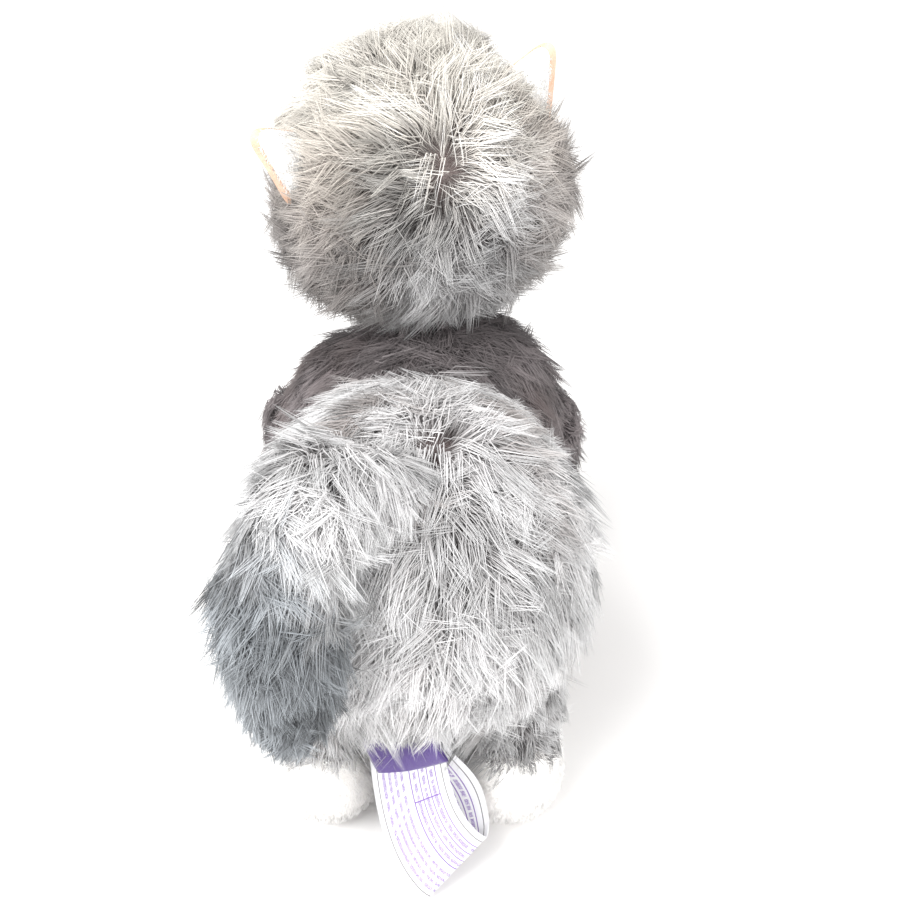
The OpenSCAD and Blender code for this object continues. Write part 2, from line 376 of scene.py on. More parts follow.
def settle(obj):
    """Puts the object's place, turn and size into its mesh."""
    pick(obj)
    bpy.ops.object.transform_apply(location=True, rotation=True, scale=True)


def taper(start, end, radius_start, radius_end):
    """A cone from start to end, closed at both ends."""
    deselect()
    run = end - start
    bpy.ops.mesh.primitive_cone_add(
        vertices=48, radius1=radius_start, radius2=radius_end, depth=run.length,
        location=(start + end) / 2, rotation=run.to_track_quat("Z", "Y").to_euler())
    obj = bpy.context.object
    settle(obj)
    return obj


def join(objects, name):
    deselect()
    for obj in objects:
        obj.select_set(True)
    bpy.context.view_layer.objects.active = objects[0]
    bpy.ops.object.join()
    objects[0].name = name
    objects[0].data.name = name
    return objects[0]


def apply_modifier(obj, kind, **settings):
    pick(obj)
    modifier = obj.modifiers.new(kind.title(), kind)
    for key, value in settings.items():
        setattr(modifier, key, value)
    bpy.ops.object.modifier_apply(modifier=modifier.name)


def melt(obj, voxel, rounds):
    """Fuses the joined forms into one sewn skin and softens where they meet."""
    apply_modifier(obj, "REMESH", mode="VOXEL", voxel_size=voxel)
    apply_modifier(obj, "SMOOTH", factor=0.5, iterations=rounds)
    smooth(obj)
    return obj


def smooth(obj):
    pick(obj)
    bpy.ops.object.shade_smooth()


def tube_form(name, stations, voxel, rounds):
    """Balls and tapers along a route of (place, radius), fused into one skin."""
    forms = [ball(place, radius) for place, radius in stations]
    for (start, r_start), (end, r_end) in zip(stations, stations[1:]):
        forms.append(taper(start, end, r_start, r_end))
    return melt(join(forms, name), voxel, rounds)


def dress(obj, material, body, slot, *replaced):
    """Gives a finished piece its material and body, and hides the nodes it stands for; its slot is
    not used.
    """
    obj.data.materials.clear()
    obj.data.materials.append(material)
    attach(obj, body)
    if replaced:
        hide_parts(*replaced)
    return obj


def keep(obj, wanted):
    """Cuts away every vertex that isn't wanted."""
    pick(obj)
    bpy.ops.object.mode_set(mode="EDIT")
    bpy.ops.mesh.select_mode(type="VERT")
    bpy.ops.mesh.select_all(action="DESELECT")
    bpy.ops.object.mode_set(mode="OBJECT")
    for vertex in obj.data.vertices:
        vertex.select = not wanted(vertex.co)
    bpy.ops.object.mode_set(mode="EDIT")
    bpy.ops.mesh.delete(type="VERT")
    bpy.ops.object.mode_set(mode="OBJECT")


# ---------- pile ----------

def unit_rows(v):
    return v / np.maximum(np.linalg.norm(v, axis=1, keepdims=True), 1e-9)


def along_surface(v, normals):
    """The part of each vector that lies along the surface."""
    return v - normals * (v * normals).sum(1, keepdims=True)


def scatter(skin, count, rng, wanted=None):
    """Random places on a skin, even over its area, with its smooth normals."""
    mesh = skin.data
    mesh.calc_loop_triangles()
    places = np.empty(len(mesh.vertices) * 3)
    mesh.vertices.foreach_get("co", places)
    places = places.reshape(-1, 3)
    normals = np.empty(len(mesh.vertices) * 3)
    mesh.vertices.foreach_get("normal", normals)
    normals = normals.reshape(-1, 3)
    corners = np.empty(len(mesh.loop_triangles) * 3, dtype=np.int32)
    mesh.loop_triangles.foreach_get("vertices", corners)
    corners = corners.reshape(-1, 3)
    a, b, c = places[corners[:, 0]], places[corners[:, 1]], places[corners[:, 2]]
    area = np.linalg.norm(np.cross(b - a, c - a), axis=1)
    if wanted is not None:
        area = area * wanted((a + b + c) / 3)
    picked = rng.choice(len(area), size=count, p=area / area.sum())
    u, v = rng.random((2, count))
    over = u + v > 1
    u[over], v[over] = 1 - u[over], 1 - v[over]
    w = np.stack([1 - u - v, u, v], axis=1)[:, :, None]
    where = (places[corners[picked]] * w).sum(1)
    facing = unit_rows((normals[corners[picked]] * w).sum(1))
    return where, facing


def gap_to(places, point):
    """How far each place is from one point."""
    return np.linalg.norm(places - np.array(point), axis=1)


def random_turns(count, rng, amount):
    return rng.normal(0, amount, (count, 3))


def nearest(points, centres):
    """For each point, the index of the nearest centre."""
    tree = KDTree(len(centres))
    for i, centre in enumerate(centres):
        tree.insert(centre, i)
    tree.balance()
    return np.array([tree.find(p)[1] for p in points])


def blotches(points, scale, seed):
    """Soft noise from -1 to 1 at each point."""
    shift = Vector((seed * 7.3, seed * 3.1, seed * 5.7))
    return np.array([perlin.noise(Vector(p) * scale + shift) for p in points]) * 1.6


FULL_COMB = 0.26   # a pull weaker than this leaves the pile partly tousled


def comb(points, normals, lay, whorls):
    """Direction in which the pile lies: a general lay, and whorls that it radiates from."""
    flow = np.tile(np.array(lay, float), (len(points), 1))
    for centre, reach, strength in whorls:
        away = points - np.array(centre)
        distance = np.linalg.norm(away, axis=1, keepdims=True)
        weight = strength * np.exp(-(distance / reach) ** 2) * np.clip(distance / 0.026, 0, 1)
        flow = flow + away / np.maximum(distance, 1e-6) * weight
    flow = along_surface(flow, normals)
    return flow / np.maximum(np.linalg.norm(flow, axis=1, keepdims=True), FULL_COMB)


def swirl(points, scale, seed):
    """A smooth field of vectors that turns neighbouring locks together."""
    rows = [blotches(points, scale, seed + k * 4.3) for k in range(3)]
    return np.stack(rows, axis=1)


def strand_paths(points, normals, flow, length, rng, lock_size, stand=0.75, droop=0.15,
                 tousle=0.46, gather=0.8, curl=0.62, under=None):
    """Root, middle and tip of each strand, gathered into pointed locks.

    Returns the three rows of points, each strand's lock and the locks' places."""
    count = len(points)
    locks = max(2, count // lock_size)
    heads = rng.choice(count, size=locks, replace=False)
    lock_of = nearest(points, points[heads])

    down = np.array([[0, 0, -droop]])
    out = normals[heads]
    turned = swirl(points[heads], 42, 2) * 0.45 + swirl(points[heads], 120, 5) * 0.4
    lean = rng.normal(stand, 0.13, (locks, 1))
    lock_flow = unit_rows(flow[heads] + along_surface(
        turned + random_turns(locks, rng, tousle), out))
    bend = unit_rows(lock_flow + along_surface(random_turns(locks, rng, curl), out))
    lock_length = length[heads] * np.clip(rng.normal(1.0, 0.14, (locks, 1)), 0.6, 1.35)
    lock_mid = points[heads] + 0.48 * lock_length * unit_rows(out * lean + lock_flow * 0.75)
    lock_tip = lock_mid + 0.56 * lock_length * unit_rows(out * (lean - 0.5) + bend + down)

    own_flow = unit_rows(flow + along_surface(
        turned[lock_of] + random_turns(count, rng, tousle * 0.9), normals))
    own_lean = rng.normal(stand, 0.18, (count, 1))
    own_length = length * np.clip(rng.normal(0.95, 0.16, (count, 1)), 0.45, 1.35)
    mid = points + 0.48 * own_length * unit_rows(normals * own_lean + own_flow * 0.75)
    tip = mid + 0.54 * own_length * unit_rows(normals * (own_lean - 0.45) + own_flow + down)

    offset = points - points[heads][lock_of]
    pull = np.clip(rng.normal(gather, 0.16, (count, 1)), 0, 0.97)
    if under is not None:
        pull[under] *= 0.25
    mid = mid * (1 - 0.5 * pull) + (lock_mid[lock_of] + offset * 0.7) * 0.5 * pull
    tip = tip * (1 - pull) + (lock_tip[lock_of] + offset * 0.14) * pull
    root = points - normals * 0.0012
    return root, mid, tip, lock_of, points[heads]


def strand_mesh(name, root, mid, tip, width, colour_rows, skin_normals):
    """Closed strands: a pointed root, a three-sided belly and a pointed tip."""
    count = len(root)
    along = unit_rows(tip - root)
    side = unit_rows(np.cross(along, np.roll(along, 1, axis=1) + np.array([[0.3, -0.2, 0.1]])))
    other = np.cross(along, side)
    points = np.empty((count, 5, 3))
    outward = np.empty((count, 5, 3))
    points[:, 0] = root
    points[:, 4] = tip
    for k in range(3):
        angle = 2 * math.pi * k / 3
        spoke = side * math.cos(angle) + other * math.sin(angle)
        points[:, 1 + k] = mid + spoke * width * 0.5
        outward[:, 1 + k] = spoke
    outward[:, 0] = skin_normals
    outward[:, 4] = unit_rows(tip - mid) * 0.5 + skin_normals
    shade = np.empty((count, 5, 4))
    shade[:, :, 3] = 1
    for column, row in ((slice(0, 1), 0), (slice(1, 4), 1), (slice(4, 5), 2)):
        shade[:, column, :3] = colour_rows[row][:, None, :]

    faces = [[0, 1 + (k + 1) % 3, 1 + k] for k in range(3)]
    faces += [[1 + k, 1 + (k + 1) % 3, 4] for k in range(3)]
    pattern = np.array(sum(faces, []), dtype=np.int32)
    corners = (pattern[None] + 5 * np.arange(count, dtype=np.int32)[:, None]).ravel()
    starts = np.arange(0, len(corners), 3, dtype=np.int32)

    mesh = bpy.data.meshes.new(name)
    mesh.vertices.add(count * 5)
    mesh.vertices.foreach_set("co", points.astype(np.float32).ravel())
    mesh.loops.add(len(corners))
    mesh.loops.foreach_set("vertex_index", corners)
    mesh.polygons.add(len(starts))
    mesh.polygons.foreach_set("loop_start", starts)
    mesh.polygons.foreach_set("use_smooth", np.ones(len(starts), dtype=bool))
    layer = mesh.color_attributes.new("pile_colour", "FLOAT_COLOR", "POINT")
    layer.data.foreach_set("color", shade.astype(np.float32).ravel())
    mesh.update(calc_edges=True)
    soft = unit_rows((outward * 0.75 + skin_normals[:, None] * 0.9).reshape(-1, 3))
    mesh.normals_split_custom_set_from_vertices(soft)
    obj = bpy.data.objects.new(name, mesh)
    bpy.context.scene.collection.objects.link(obj)
    return obj


UNDERCOAT = 0.30


def grow_pile(names, skin, count, length, rng, colour_at, lay, whorls, split=None,
              wanted=None, length_at=None, **habit):
    """Grows pile on a skin and returns its pieces, one for each name.

    colour_at(places, tone) gives root, middle and tip colours; split(places) gives the
    piece that each strand belongs to."""
    points, normals = scatter(skin, count, rng, wanted)
    flow = comb(points, normals, lay, whorls)
    lengths = np.full((count, 1), length)
    if length_at is not None:
        lengths = lengths * length_at(points)[:, None]
    under = rng.random(count) < UNDERCOAT
    lengths[under] *= 0.66
    root, mid, tip, lock_of, lock_places = strand_paths(
        points, normals, flow, lengths, rng, 15, under=under, **habit)
    lock_tone = (blotches(lock_places, 48, 1) * 1.0 + blotches(lock_places, 110, 8) * 0.5
                 + rng.normal(0, 0.34, len(lock_places)))
    tone = lock_tone[lock_of] + rng.normal(0.1, 0.25, count)
    tone[under] -= 1.45
    rows = colour_at(points, tone)
    width = pile_settings().strand_width * rng.uniform(0.7, 1.3, (count, 1))
    group = np.zeros(count, int) if split is None else split(points)
    made = []
    for index, name in enumerate(names):
        mine = group == index
        made.append(strand_mesh(name, root[mine], mid[mine], tip[mine], width[mine],
                                [row[mine] for row in rows], normals[mine]))
    return made


def blend_rows(first, second, amount):
    amount = np.clip(amount, 0, 1)[:, None]
    return np.array(first)[None] * (1 - amount) + np.array(second)[None] * amount


def ramp_up(value, low, high):
    t = np.clip((value - low) / (high - low), 0, 1)
    return t * t * (3 - 2 * t)


def strand_colours(root, tip, tone, middle=0.52):
    """Root, middle and tip colours of strands, lighter or darker by tone."""
    gain = np.clip(1 + tone * 0.38, 0.24, 1.5)[:, None]
    mid = root * (1 - middle) + tip * middle
    return root, mid * gain, np.clip(tip * gain, 0, 0.96)


def plain_pile(root, tip):
    """Colours for a pile that is the same all over."""
    def colour_at(places, tone):
        dark, light = (np.tile(np.array(c), (len(places), 1)) for c in (root, tip))
        return strand_colours(dark, light, tone)
    return colour_at


# ---------- head ----------

CROWN_DIR = Vector((-0.22, 0.93, 0.29)).normalized()
SEAM_TOP_DIR = Vector((-0.165, 0.656, 0.737))
SEAM_LOW_DIR = Vector((-0.30, 0.85, -0.42))
HEAD_SKIN_R = 0.0535
PARTING_R = 0.055       # reach of the head's partings and ear bases from its centre
FACE_BARE_R = 0.033
EAR_BARE_R = 0.012


class MONKEY_OT_head(bpy.types.Operator):
    """Build the head: its skin and its long pile, radiating from the crown"""

    bl_idname = "monkey.head"
    bl_label = "Head"

    def execute(self, context):
        rng = np.random.default_rng(11)
        tint = colours()
        skin = ball(HEAD_C, HEAD_SKIN_R, stretch=(1.04, 0.98, 0.99), turn=LEAN, segments=64)
        skin.name = "head_skin"
        melt(skin, 0.003, 2)
        crown = HEAD_C + CROWN_DIR * PARTING_R
        face = HEAD_C + LEAN @ Vector((0, -0.052, -0.002))
        ear_bases = [HEAD_C + (place - HEAD_C).normalized() * PARTING_R
                     for place, axis in EAR.values()]

        def wanted(places):
            grows = (gap_to(places, face) > FACE_BARE_R) * 1.0
            for base in ear_bases:
                grows *= gap_to(places, base) > EAR_BARE_R
            return grows

        def length_at(places):
            scale = (0.84 + 0.16 * ramp_up(gap_to(places, crown), 0.0, 0.02)) * (
                0.55 + 0.45 * ramp_up(gap_to(places, face), 0.034, 0.06))
            for base in ear_bases:
                scale = scale * (0.45 + 0.55 * ramp_up(gap_to(places, base), EAR_BARE_R, 0.030))
            return scale

        def colour_at(places, tone):
            up = (places - np.array(HEAD_C)) @ np.array(LEAN @ Vector((0, 0, 1))) / HEAD_R
            # Painted light: tips, and a little of the roots, turn cream towards the top of the
            # head, where the light washes the pile out.
            light = blend_rows(tint.silver_tip, tint.crown_highlight_tip, ramp_up(up, -0.1, 0.6))
            # Painted shade and painted highlight: the pile is darker low on the head and down both
            # its sides, and lighter down the middle below the crown.
            light = light * (0.55 + 0.47 * ramp_up(up + tone * 0.15, -0.45, 0.8))[:, None]
            across = (places - np.array(crown)) @ np.array((1, 0, 0))
            flank_shade = ramp_up(np.abs(across), 0.008, 0.030) * (1 - ramp_up(up, 0.25, 0.85))
            light = light * (1 - np.outer(flank_shade, (0.34, 0.38, 0.41)))
            ridge_highlight = (1 - ramp_up(np.abs(across), 0.006, 0.024)) * (1 - ramp_up(up, 0.3, 0.8))
            light = light * (1 + 0.38 * ridge_highlight)[:, None]
            dark = blend_rows(tint.silver_root, tint.crown_highlight_tip, ramp_up(up, 0.3, 1.2) * 0.3)
            return strand_colours(dark, light, tone)

        def split(places):
            return (((places - np.array(HEAD_C)) @ np.array(LEAN @ Vector((1, 0, 0)))) < 0) * 1

        down = LEAN @ Vector((0, -0.25, -0.15))
        seam_top = HEAD_C + SEAM_TOP_DIR * PARTING_R
        seam_low = HEAD_C + SEAM_LOW_DIR * PARTING_R
        piles = grow_pile(
            ("head_pile_left", "head_pile_right"), skin, pile_settings().head_strands,
            pile_settings().head_length, rng, colour_at, down,
            [(crown, 0.085, 0.9), (seam_top, 0.03, 0.7), (seam_low, 0.03, 0.6)], split,
            wanted, length_at, stand=0.72)
        fur = pile_material("silver_head_pile", tint.silver_tip)
        backing = backing_material("head_backing", (0.30, 0.26, 0.25), (0.13, 0.10, 0.095))
        dress(skin, backing, "head", "silver_pile", "head_stuffing")
        for pile, word in zip(piles, ("left", "right")):
            dress(pile, fur, "head", "silver_pile", f"head_cover_{word}")
        return {"FINISHED"}


# ---------- torso ----------

COLOUR_SEAM_Y = -0.006  # where the dark shoulders meet the light rump


class MONKEY_OT_torso(bpy.types.Operator):
    """Build the torso: one stuffed skin with dark shoulders and a light rump"""

    bl_idname = "monkey.torso"
    bl_label = "Torso"

    def execute(self, context):
        rng = np.random.default_rng(23)
        tint = colours()
        chest = CHEST_C + Vector((0, -0.001, 0.004))
        waist = (CHEST_C + RUMP_C) / 2 + Vector((0, -0.004, 0.001))
        broad = Vector((0.0150, 0, -0.004))
        skin = tube_form("torso_skin", [
            (chest + broad, 0.0385), (chest - broad, 0.0385), (chest, 0.0415),
            (waist, 0.045), (RUMP_C, 0.0585)], 0.003, 12)
        top_parting = RUMP_C + Vector((-0.14, 0.14, 0.98)) * 0.059
        rear_parting = RUMP_C + Vector((-0.19, 0.82, 0.54)) * 0.060

        def rumpness(places, tone):
            edge = COLOUR_SEAM_Y - 0.10 * np.maximum(places[:, 2] - RUMP_C.z, 0)
            return ramp_up(places[:, 1] + tone * 0.006, edge - 0.006, edge + 0.012)

        def colour_at(places, tone):
            rear = rumpness(places, tone)
            light = blend_rows(tint.dark_tip, tint.silver_tip, rear)
            dark = blend_rows(tint.dark_root, tint.silver_root, rear)
            patch = blotches(places, 34, 3)
            light = light * (1 - np.outer(ramp_up(patch, 0.15, 0.8), (0.42, 0.46, 0.48)))
            # Painted shade: the rump's pile is darkened where it turns under the body, and the
            # shoulder pile is darkened in the crease under the head at the neck.
            below = ramp_up((RUMP_C.z - places[:, 2]) / RUMP_R, 0.15, 0.65)
            neck_crease_shade = (1 - rear) * (1 - ramp_up(gap_to(places, NECK_P), 0.026, 0.062))
            light = light * (1.05 - 0.27 * below * rear - 0.5 * neck_crease_shade)[:, None]
            return strand_colours(dark, light, tone + rear * 0.22)

        def split(places):
            right = (places[:, 0] < 0) * 1
            rear = places[:, 1] > COLOUR_SEAM_Y
            low = places[:, 2] < RUMP_C.z - 0.004
            return np.where(rear, 2 + 2 * low + right, right)

        def length_at(places):
            under = ramp_up(-(places[:, 2] - RUMP_C.z) / RUMP_R, 0.45, 0.8)
            front = ramp_up(-places[:, 1], 0.0, 0.02)
            belly = under * ramp_up(-places[:, 1], -0.045, -0.02)
            return (1 - 0.5 * belly) * (1 - 0.12 * front)

        def wanted(places):
            low = np.where((places[:, 2] < RUMP_C.z - 0.034) & (places[:, 1] < 0.05), 0.4, 1.0)
            on_belly = ((np.abs(places[:, 0]) < BELLY_HALF_W) & (places[:, 2] < RUMP_C.z - 0.03)
                        & (np.abs(places[:, 1]) < 0.04))
            return np.where(on_belly, 0.0, low)

        piles = grow_pile(
            ("shoulder_pile_left", "shoulder_pile_right", "rump_pile_left_top",
             "rump_pile_right_top", "rump_pile_left_low", "rump_pile_right_low"),
            skin, pile_settings().torso_strands, pile_settings().torso_length, rng,
            colour_at, (0, 0.35, -0.5),
            [(top_parting, 0.05, 1.4), (rear_parting, 0.045, 1.3),
             (CHEST_C + Vector((0, 0.01, 0.045)), 0.05, 1.2)], split, wanted, length_at,
            stand=0.7, droop=0.3)
        fur = pile_material("torso_pile", tint.silver_tip)
        backing = backing_material("torso_backing", (0.26, 0.22, 0.21), (0.09, 0.07, 0.07))
        dress(skin, backing, "torso", "silver_pile", "body_stuffing")
        belly = tube_form("belly_cloth", [
            (CHEST_C, CHEST_R - 0.0012), (RUMP_C, RUMP_R - 0.0012)], 0.003, 2)
        keep(belly, lambda p: abs(p.x) < BELLY_HALF_W and p.z < RUMP_C.z - 0.03
             and abs(p.y) < 0.045)
        apply_modifier(belly, "SOLIDIFY", thickness=0.003, offset=-1)
        smooth(belly)
        dress(belly, short_pile_material("belly_nap", tint.peach, PEACH_SHADE),
              "torso", "peach_skin", "belly_panel")
        nodes = (("shoulder_cover_left",), ("shoulder_cover_right",), ("rump_cover_left",),
                 ("rump_cover_right",), ("rump_cover_left",), ("rump_cover_right",))
        for pile, replaced in zip(piles, nodes):
            dark = pile.name.startswith("shoulder")
            dress(pile, fur, "torso", "dark_pile" if dark else "silver_pile", *replaced)
        return {"FINISHED"}


# ---------- neck ----------

class MONKEY_OT_neck(bpy.types.Operator):
    """Build the neck roll and its dark pile"""

    bl_idname = "monkey.neck"
    bl_label = "Neck"

    def execute(self, context):
        rng = np.random.default_rng(31)
        tint = colours()
        skin = ball(NECK_P, 0.019)
        skin.name = "neck_skin"
        melt(skin, 0.003, 1)
        # Painted shade: the neck pile's tips are the shoulder pile's dark tips dimmed to 0.8, for
        # the shade under the head.
        pile, = grow_pile(
            ("neck_pile",), skin, 5000, 0.014, rng,
            plain_pile(tint.dark_root, np.array(tint.dark_tip) * 0.8), (0, 0.2, -0.8), [],
            stand=1.0)
        dress(skin, backing_material("neck_backing", (0.1, 0.08, 0.08), (0.05, 0.04, 0.04)),
              "neck", "dark_pile", "neck_roll")
        dress(pile, pile_material("neck_pile_fibre", tint.dark_tip), "neck", "dark_pile")
        return {"FINISHED"}


# ---------- tail ----------

BLUE_ROOT = (0.028, 0.030, 0.036)


class MONKEY_OT_tail(bpy.types.Operator):
    """Build the tail, light over its arch and blue-grey towards its tip"""

    bl_idname = "monkey.tail"
    bl_label = "Tail"

    def execute(self, context):
        rng = np.random.default_rng(47)
        tint = colours()
        end = Vector((0.041, 0.132, 0.106))
        arch = Vector((0.030, 0.099, 0.171))
        route = [(TAIL_ROOT, 0.008), ((TAIL_ROOT + arch) / 2, 0.010), (arch, 0.011),
                 (TAIL_BEND, 0.012), (end, 0.010)]
        skin = tube_form("tail_skin", route, 0.0022, 8)
        stations = np.array([p for p, r in route])

        def down_tail(places):
            """How far along the tail a place is, from 0 at the root to 1 at the end."""
            reach = np.zeros(len(places))
            best = np.full(len(places), 9.0)
            for i in range(len(stations) - 1):
                a, b = stations[i], stations[i + 1]
                t = np.clip((places - a) @ (b - a) / ((b - a) @ (b - a)), 0, 1)
                gap = np.linalg.norm(places - a - t[:, None] * (b - a), axis=1)
                nearer = gap < best
                reach[nearer] = (i + t[nearer]) / (len(stations) - 1)
                best[nearer] = gap[nearer]
            return reach

        def colour_at(places, tone):
            inner = ramp_up(-(places[:, 0] - 0.040), -0.004, 0.010)
            low = ramp_up(down_tail(places) + tone * 0.05 - inner * 0.10, 0.42, 0.74)
            light = blend_rows(tint.silver_tip, tint.blue_tip, low) * (1.13 - 0.13 * low[:, None])
            dark = blend_rows(tint.silver_root, BLUE_ROOT, low)
            return strand_colours(dark, light, tone * (1 + 0.35 * low) - low * 0.3,
                                  0.55 - 0.2 * low[:, None])

        def split(places):
            return (places @ np.array((1, 0, 0)) < 0.040) * 1

        def length_at(places):
            far_down = down_tail(places)
            return (0.8 + 0.2 * ramp_up(far_down, 0.1, 0.4)) * (
                1 - 0.42 * ramp_up(far_down, 0.78, 1.0))

        piles = grow_pile(
            ("tail_pile_outer", "tail_pile_inner"), skin, pile_settings().tail_strands,
            pile_settings().tail_length, rng, colour_at, (0.12, 0.25, -1.0),
            [(TAIL_ROOT, 0.03, 1.0)], split, None, length_at, stand=0.75, droop=0.35)
        fur = pile_material("tail_pile", tint.silver_tip)
        backing = backing_material("tail_backing", (0.12, 0.11, 0.12), (0.05, 0.048, 0.055))
        skin.data.materials.append(backing)
        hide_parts("tail_base_stuffing", "tail_tip_stuffing", "tail_base_cover",
                    "tail_tip_cover")
        for piece in (skin, *piles):
            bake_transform(piece)
        for pile in piles:
            pile.data.materials.append(fur)
        return {"FINISHED"}


# ---------- legs ----------

STANDING_AT = 0.0002
FUZZ_FROM = 0.004


def above_floor(places):
    """Fuzz grows only on the part of a foot or hand that clears the floor."""
    return (places[:, 2] > FUZZ_FROM) * 1.0


class MONKEY_OT_legs(bpy.types.Operator):
    """Build the hind legs: long-piled thighs over cream feet"""

    bl_idname = "monkey.legs"
    bl_label = "Hind legs"

    def execute(self, context):
        tint = colours()
        fur = pile_material("thigh_pile", tint.silver_tip)
        backing = backing_material("thigh_backing", (0.16, 0.13, 0.13), (0.08, 0.06, 0.06))
        nap = short_pile_material("cream_nap", tint.cream, CREAM_SHADE)
        for side, word in SIDES:
            rng = np.random.default_rng(61 + side)
            hip = HIP[side]
            low, high = box_of(f"foot_cover_{word}", f"sole_panel_{word}")
            foot_r = (high.x - low.x) / 2
            heel = Vector((hip.x, high.y - foot_r, foot_r - 0.0025))
            toe = Vector((hip.x, low.y + foot_r, foot_r - 0.0025))
            foot = tube_form(f"foot_{word}", [
                (heel, foot_r * 0.985), (toe, foot_r * 0.94)], 0.0018, 6)
            cut_flat(foot, STANDING_AT)
            thigh = tube_form(f"thigh_{word}_skin", [
                (hip, 0.017), (heel + Vector((0, -0.004, 0.012)), 0.015)], 0.0022, 4)

            pile, = grow_pile(
                (f"thigh_{word}_pile",), thigh, pile_settings().limb_strands,
                pile_settings().limb_length, rng,
                plain_pile(tint.silver_root, np.array(tint.silver_tip) * 0.9), (0, 0, -1), [],
                wanted=lambda places: (places[:, 2] > 0.034) * 1.0, stand=0.8, droop=0.3)
            dress(foot, nap, f"{word}_leg", "cream_skin", f"foot_cover_{word}",
                  f"sole_panel_{word}", f"leg_stuffing_{word}")
            dress(thigh, backing, f"{word}_leg", "silver_pile", f"thigh_cover_{word}")
            dress(pile, fur, f"{word}_leg", "silver_pile")
            fuzz(f"foot_{word}_fuzz", foot, 7000, 0.0034, rng, tint.cream, f"{word}_leg",
                 above_floor)
        return {"FINISHED"}


def cut_flat(obj, height):
    """Presses everything below a height up to it, as a stuffed form flattens where it stands."""
    for vertex in obj.data.vertices:
        if vertex.co.z < height + 0.002:
            vertex.co.z = height + max(0.0, vertex.co.z - height) * 0.5
    obj.data.update()


# ---------- arms ----------

class MONKEY_OT_arms(bpy.types.Operator):
    """Build the arms: dark sleeves of pile and cream hands"""

    bl_idname = "monkey.arms"
    bl_label = "Arms"

    def execute(self, context):
        tint = colours()
        fur = pile_material("arm_pile", tint.dark_tip)
        backing = backing_material("arm_backing", (0.1, 0.08, 0.08), (0.05, 0.04, 0.04))
        nap = short_pile_material("hand_nap", tint.cream, CREAM_SHADE)
        for side, word in SIDES:
            rng = np.random.default_rng(71 + side)
            shoulder = SHOULDER[side]
            wrist = Vector((side * 0.060, -0.076, 0.042))
            palm = Vector((side * 0.061, -0.083, 0.0165))
            tucked = shoulder + Vector((-side * 0.003, 0.0, -0.006))
            arm = tube_form(f"arm_{word}_skin", [
                (tucked, 0.0115), (wrist, 0.0095)], 0.002, 3)
            hand = tube_form(f"hand_{word}", [
                (wrist + Vector((0, 0, 0.004)), 0.0125), (palm, 0.0172)], 0.0018, 5)
            cut_flat(hand, STANDING_AT)

            def below_shoulder(places):
                return 0.7 + 0.3 * ramp_up(SHOULDER[LEFT].z - places[:, 2], -0.004, 0.012)

            pile, = grow_pile(
                (f"arm_{word}_pile",), arm, pile_settings().limb_strands,
                pile_settings().limb_length * 1.15, rng,
                plain_pile(tint.dark_root, tint.dark_tip), (side * 0.35, -0.2, -1), [],
                length_at=below_shoulder, stand=0.62, droop=0.5)
            dress(hand, nap, f"{word}_arm", "cream_skin", f"hand_cover_{word}",
                  f"arm_stuffing_{word}")
            dress(arm, backing, f"{word}_arm", "dark_pile", f"arm_sleeve_{word}")
            dress(pile, fur, f"{word}_arm", "dark_pile")
            fuzz(f"hand_{word}_fuzz", hand, 4000, 0.0038, rng, tint.cream, f"{word}_arm",
                 above_floor)
        return {"FINISHED"}


# ---------- face ----------

class MONKEY_OT_face(bpy.types.Operator):
    """Build the face: short-pile mask, muzzle and nose"""

    bl_idname = "monkey.face"
    bl_label = "Face"

    def execute(self, context):
        tint = colours()
        mask = ball(HEAD_C, 0.0588, turn=LEAN, segments=96)
        mask.name = "face_cloth"

        def in_face(place):
            local = LEAN.inverted() @ (place - HEAD_C)
            return local.y < 0 and math.hypot(local.x, local.z) < 0.0375

        keep(mask, in_face)
        apply_modifier(mask, "SOLIDIFY", thickness=0.004, offset=-1)
        smooth(mask)
        nap = short_pile_material("peach_nap", tint.peach, PEACH_SHADE)
        dress(mask, nap, "head", "peach_skin", "face_mask")
        muzzle = ball(on_head(0, -0.0435, -0.014), 0.0195, stretch=(1.18, 1.0, 0.92),
                      turn=LEAN, segments=64)
        muzzle.name = "muzzle_skin"
        smooth(muzzle)
        cream = short_pile_material("muzzle_nap", tint.cream, (0.80, 0.76, 0.72))
        dress(muzzle, cream, "head", "cream_skin", "muzzle_cover", "muzzle_stuffing")

        low, high = box_of("nose")
        nose = ball((low + high) / 2, 0.0042, stretch=(1.55, 0.85, 1.05), turn=LEAN, segments=64)
        nose.name = "nose_stitched"
        smooth(nose)
        stitched = Shader("nose_thread", (0.16, 0.07, 0.05), 0.45, Sheen_Weight=0.3)
        rows = stitched.wave("X", 700, 0.6)
        stitched.feed("Base Color", stitched.ramp(
            rows, (0.2, (0.10, 0.042, 0.03)), (0.8, (0.22, 0.10, 0.07))))
        stitched.bump(rows, 0.0003)
        dress(nose, stitched.material, "head", "nose_thread", "nose")
        return {"FINISHED"}


# ---------- ears ----------

class MONKEY_OT_ears(bpy.types.Operator):
    """Build the ears: cream backs with peach linings"""

    bl_idname = "monkey.ears"
    bl_label = "Ears"

    def execute(self, context):
        tint = colours()
        back_nap = short_pile_material("ear_back_nap", tint.cream, (0.82, 0.80, 0.77))
        lining_nap = short_pile_material("ear_lining_nap", tint.peach, (0.66, 0.42, 0.29))
        for side, word in SIDES:
            back = ear_layer(f"ear_{word}_back", side, 0.0070, 0.0, 0.0024)
            lining = ear_layer(f"ear_{word}_lining", side, 0.0098, 0.0025, 0.0020)
            dress(back, back_nap, f"{word}_ear", "cream_skin", f"ear_back_{word}")
            dress(lining, lining_nap, f"{word}_ear", "peach_skin", f"ear_lining_{word}")
            rng = np.random.default_rng(81 + side)
            fuzz(f"ear_{word}_fuzz", back, 1500, 0.0020, rng, tint.cream, f"{word}_ear")
        return {"FINISHED"}


